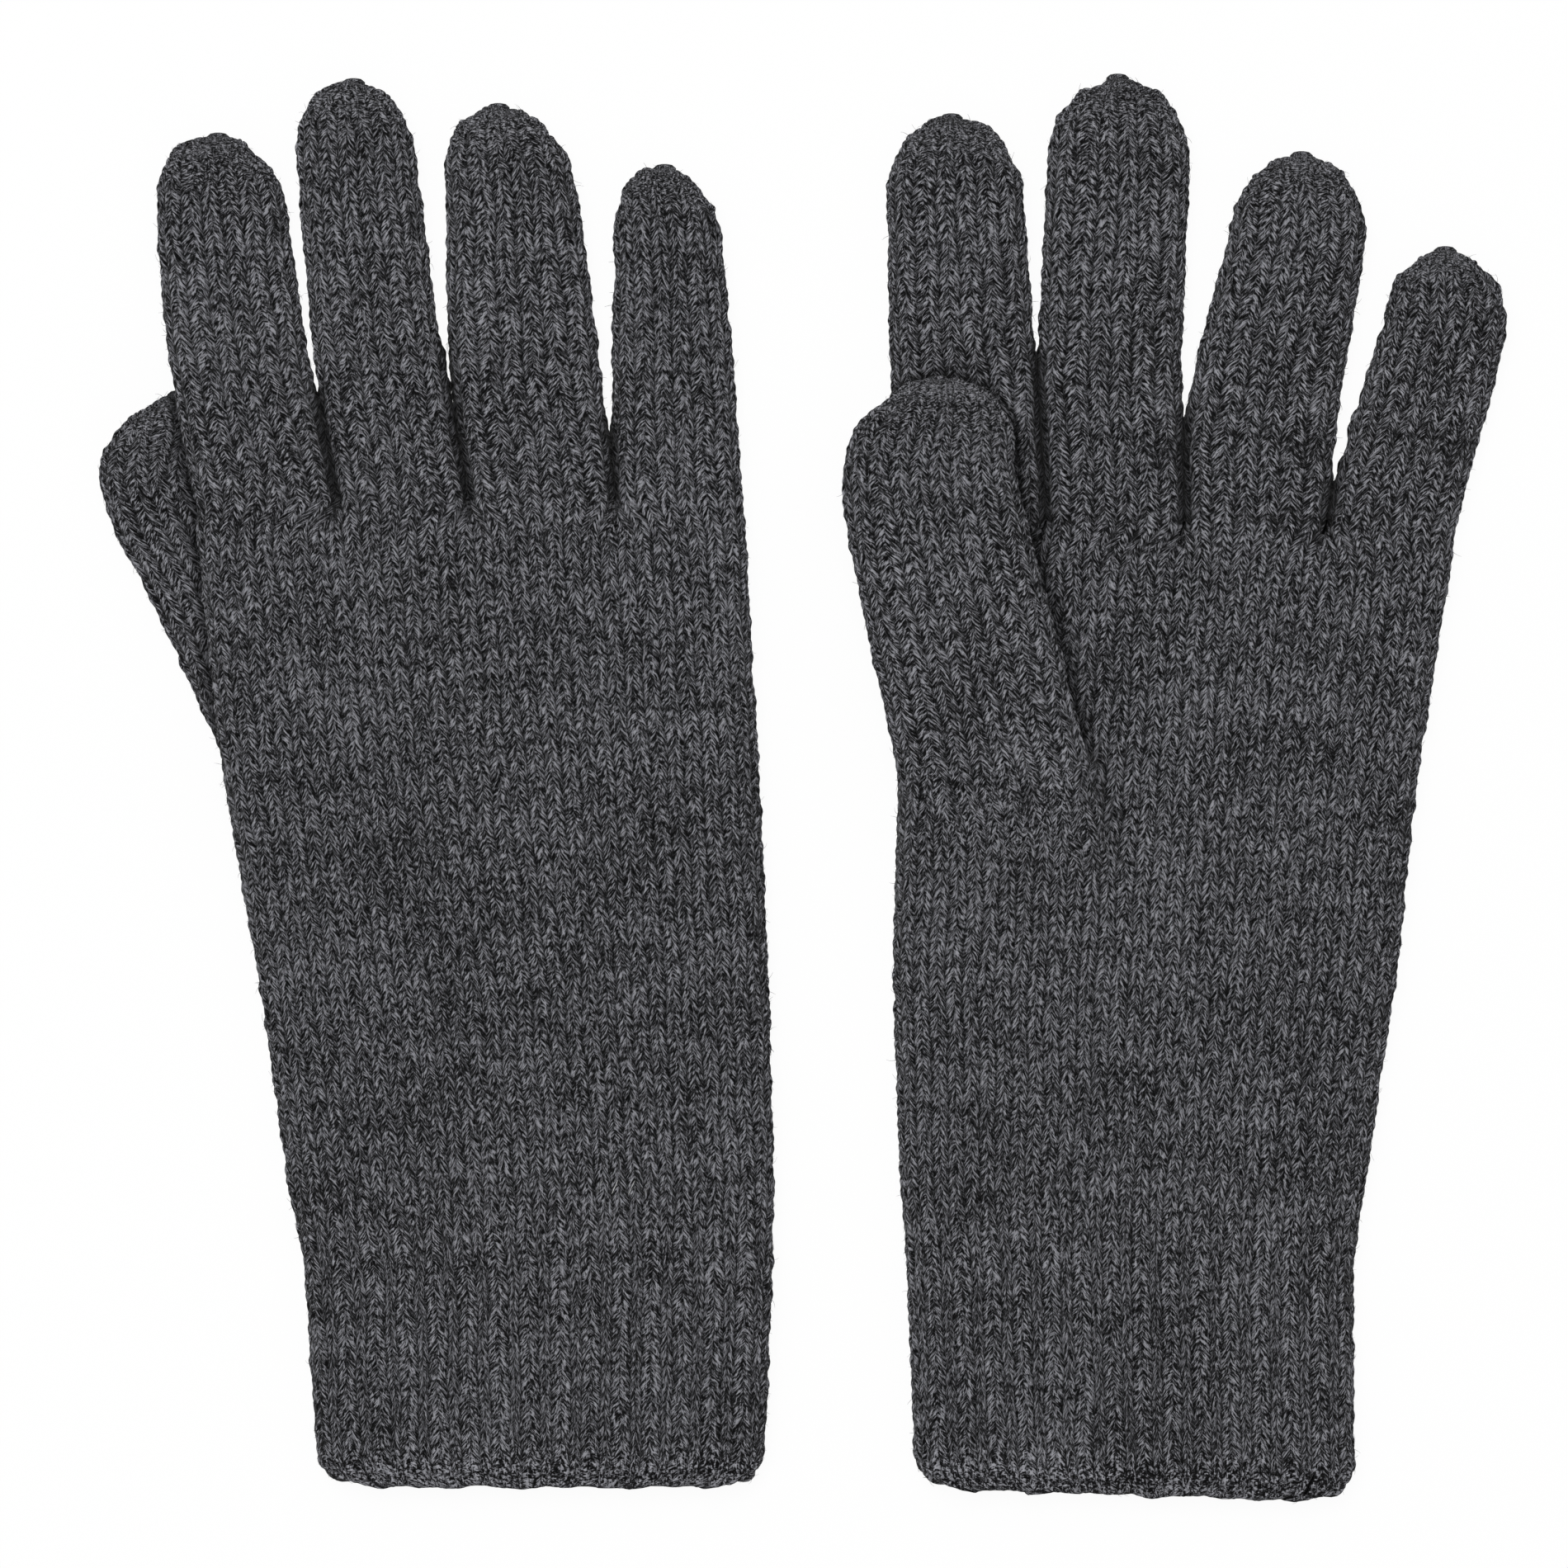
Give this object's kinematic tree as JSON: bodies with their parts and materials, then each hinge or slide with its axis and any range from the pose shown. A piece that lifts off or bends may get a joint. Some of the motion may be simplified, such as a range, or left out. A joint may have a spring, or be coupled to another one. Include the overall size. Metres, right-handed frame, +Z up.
{
  "type": "pair of knitted gloves",
  "caption": "Soft knitted gloves laid flat, palm up and palm down, with long ribbed cuffs and fingers and thumbs that bend.",
  "frame": {"origin": "centre of the pair's bounding box on the surface that it lies on", "axes": "+X across the pair towards the palm-up glove, +Y towards the fingertips, +Z up"},
  "size_m": [0.2645, 0.2663, 0.0169],
  "materials": {
    "yarn": "charcoal heather wool, plain knit",
    "rib_yarn": "charcoal heather wool, ribbed knit",
    "elastic": "covered elastic thread"
  },
  "bodies": {
    "right_hand": {"right_lower_hand": "yarn", "right_upper_hand": "yarn"},
    "right_wrist": {"right_cuff": "rib_yarn", "right_hem": "rib_yarn", "right_elastics": "elastic"},
    "right_index_lower": {"right_index_base": "yarn"},
    "right_index_upper": {"right_index_end": "yarn", "right_index_tip": "yarn"},
    "right_middle_lower": {"right_middle_base": "yarn"},
    "right_middle_upper": {"right_middle_end": "yarn", "right_middle_tip": "yarn"},
    "right_ring_lower": {"right_ring_base": "yarn"},
    "right_ring_upper": {"right_ring_end": "yarn", "right_ring_tip": "yarn"},
    "right_little_lower": {"right_little_base": "yarn"},
    "right_little_upper": {"right_little_end": "yarn", "right_little_tip": "yarn"},
    "right_thumb_lower": {"right_thumb_base": "yarn"},
    "right_thumb_upper": {"right_thumb_end": "yarn", "right_thumb_tip": "yarn"},
    "left_hand": {"left_lower_hand": "yarn", "left_upper_hand": "yarn"},
    "left_wrist": {"left_cuff": "rib_yarn", "left_hem": "rib_yarn", "left_elastics": "elastic"},
    "left_index_lower": {"left_index_base": "yarn"},
    "left_index_upper": {"left_index_end": "yarn", "left_index_tip": "yarn"},
    "left_middle_lower": {"left_middle_base": "yarn"},
    "left_middle_upper": {"left_middle_end": "yarn", "left_middle_tip": "yarn"},
    "left_ring_lower": {"left_ring_base": "yarn"},
    "left_ring_upper": {"left_ring_end": "yarn", "left_ring_tip": "yarn"},
    "left_little_lower": {"left_little_base": "yarn"},
    "left_little_upper": {"left_little_end": "yarn", "left_little_tip": "yarn"},
    "left_thumb_lower": {"left_thumb_base": "yarn"},
    "left_thumb_upper": {"left_thumb_end": "yarn", "left_thumb_tip": "yarn"}
  },
  "joints": [
    {"name": "pair_lift", "type": "slide", "parent": "right_hand", "child": "left_hand", "axis": [0, 0, 1], "range_m": [0, 0.25]},
    {"name": "right_wrist_bend", "type": "hinge", "parent": "right_hand", "child": "right_wrist", "pos_m": [-0.0506, -0.076, 0.0043], "axis": [1, 0, 0], "range_deg": [-45, 45]},
    {"name": "left_wrist_bend", "type": "hinge", "parent": "left_hand", "child": "left_wrist", "pos_m": [0.0624, -0.076, 0.0043], "axis": [1, 0, 0], "range_deg": [-45, 45]},
    {"name": "right_index_knuckle", "type": "hinge", "parent": "right_hand", "child": "right_index_lower", "pos_m": [-0.1003, 0.0545, 0.0169], "axis": [-1, 0, 0], "range_deg": [-45, 0]},
    {"name": "right_index_bend", "type": "hinge", "parent": "right_index_lower", "child": "right_index_upper", "pos_m": [-0.1062, 0.086, 0.0027], "axis": [-1, 0, 0], "range_deg": [0, 90]},
    {"name": "right_middle_knuckle", "type": "hinge", "parent": "right_hand", "child": "right_middle_lower", "pos_m": [-0.0747, 0.0545, 0], "axis": [-1, 0, 0], "range_deg": [0, 70]},
    {"name": "right_middle_bend", "type": "hinge", "parent": "right_middle_lower", "child": "right_middle_upper", "pos_m": [-0.0806, 0.09, 0], "axis": [-1, 0, 0], "range_deg": [0, 100]},
    {"name": "right_ring_knuckle", "type": "hinge", "parent": "right_hand", "child": "right_ring_lower", "pos_m": [-0.0487, 0.0545, 0], "axis": [-1, 0, 0], "range_deg": [0, 95]},
    {"name": "right_ring_bend", "type": "hinge", "parent": "right_ring_lower", "child": "right_ring_upper", "pos_m": [-0.0525, 0.088, 0], "axis": [-1, 0, 0], "range_deg": [0, 100]},
    {"name": "right_little_knuckle", "type": "hinge", "parent": "right_hand", "child": "right_little_lower", "pos_m": [-0.023, 0.0545, 0], "axis": [-1, 0, 0], "range_deg": [0, 95]},
    {"name": "right_little_bend", "type": "hinge", "parent": "right_little_lower", "child": "right_little_upper", "pos_m": [-0.0241, 0.082, 0], "axis": [-1, 0, 0], "range_deg": [0, 100]},
    {"name": "right_thumb_lift", "type": "hinge", "parent": "right_hand", "child": "right_thumb_lower", "pos_m": [-0.0925, 0.007, 0], "axis": [-1, 0, 0], "range_deg": [0, 80]},
    {"name": "right_thumb_bend", "type": "hinge", "parent": "right_thumb_lower", "child": "right_thumb_upper", "pos_m": [-0.1067, 0.04, 0], "axis": [-1, 0, 0], "range_deg": [0, 75]},
    {"name": "left_index_knuckle", "type": "hinge", "parent": "left_hand", "child": "left_index_lower", "pos_m": [0.0318, 0.05, 0], "axis": [1, 0, 0], "range_deg": [-45, 0]},
    {"name": "left_index_bend", "type": "hinge", "parent": "left_index_lower", "child": "left_index_upper", "pos_m": [0.0299, 0.089, 0.0086], "axis": [1, 0, 0], "range_deg": [0, 90]},
    {"name": "left_middle_knuckle", "type": "hinge", "parent": "left_hand", "child": "left_middle_lower", "pos_m": [0.059, 0.05, 0.0086], "axis": [1, 0, 0], "range_deg": [0, 95]},
    {"name": "left_middle_bend", "type": "hinge", "parent": "left_middle_lower", "child": "left_middle_upper", "pos_m": [0.0582, 0.09, 0.0086], "axis": [1, 0, 0], "range_deg": [0, 100]},
    {"name": "left_ring_knuckle", "type": "hinge", "parent": "left_hand", "child": "left_ring_lower", "pos_m": [0.0852, 0.05, 0.0086], "axis": [1, 0, 0], "range_deg": [0, 95]},
    {"name": "left_ring_bend", "type": "hinge", "parent": "left_ring_lower", "child": "left_ring_upper", "pos_m": [0.0885, 0.082, 0.0086], "axis": [1, 0, 0], "range_deg": [0, 100]},
    {"name": "left_little_knuckle", "type": "hinge", "parent": "left_hand", "child": "left_little_lower", "pos_m": [0.1109, 0.05, 0.0086], "axis": [1, 0, 0], "range_deg": [0, 95]},
    {"name": "left_little_bend", "type": "hinge", "parent": "left_little_lower", "child": "left_little_upper", "pos_m": [0.1175, 0.075, 0.0086], "axis": [1, 0, 0], "range_deg": [0, 100]},
    {"name": "left_thumb_lift", "type": "hinge", "parent": "left_hand", "child": "left_thumb_lower", "pos_m": [0.0352, 0.007, 0.0169], "axis": [1, 0, 0], "range_deg": [0, 80]},
    {"name": "left_thumb_bend", "type": "hinge", "parent": "left_thumb_lower", "child": "left_thumb_upper", "pos_m": [0.0271, 0.042, 0.0169], "axis": [1, 0, 0], "range_deg": [0, 75]}
  ]
}
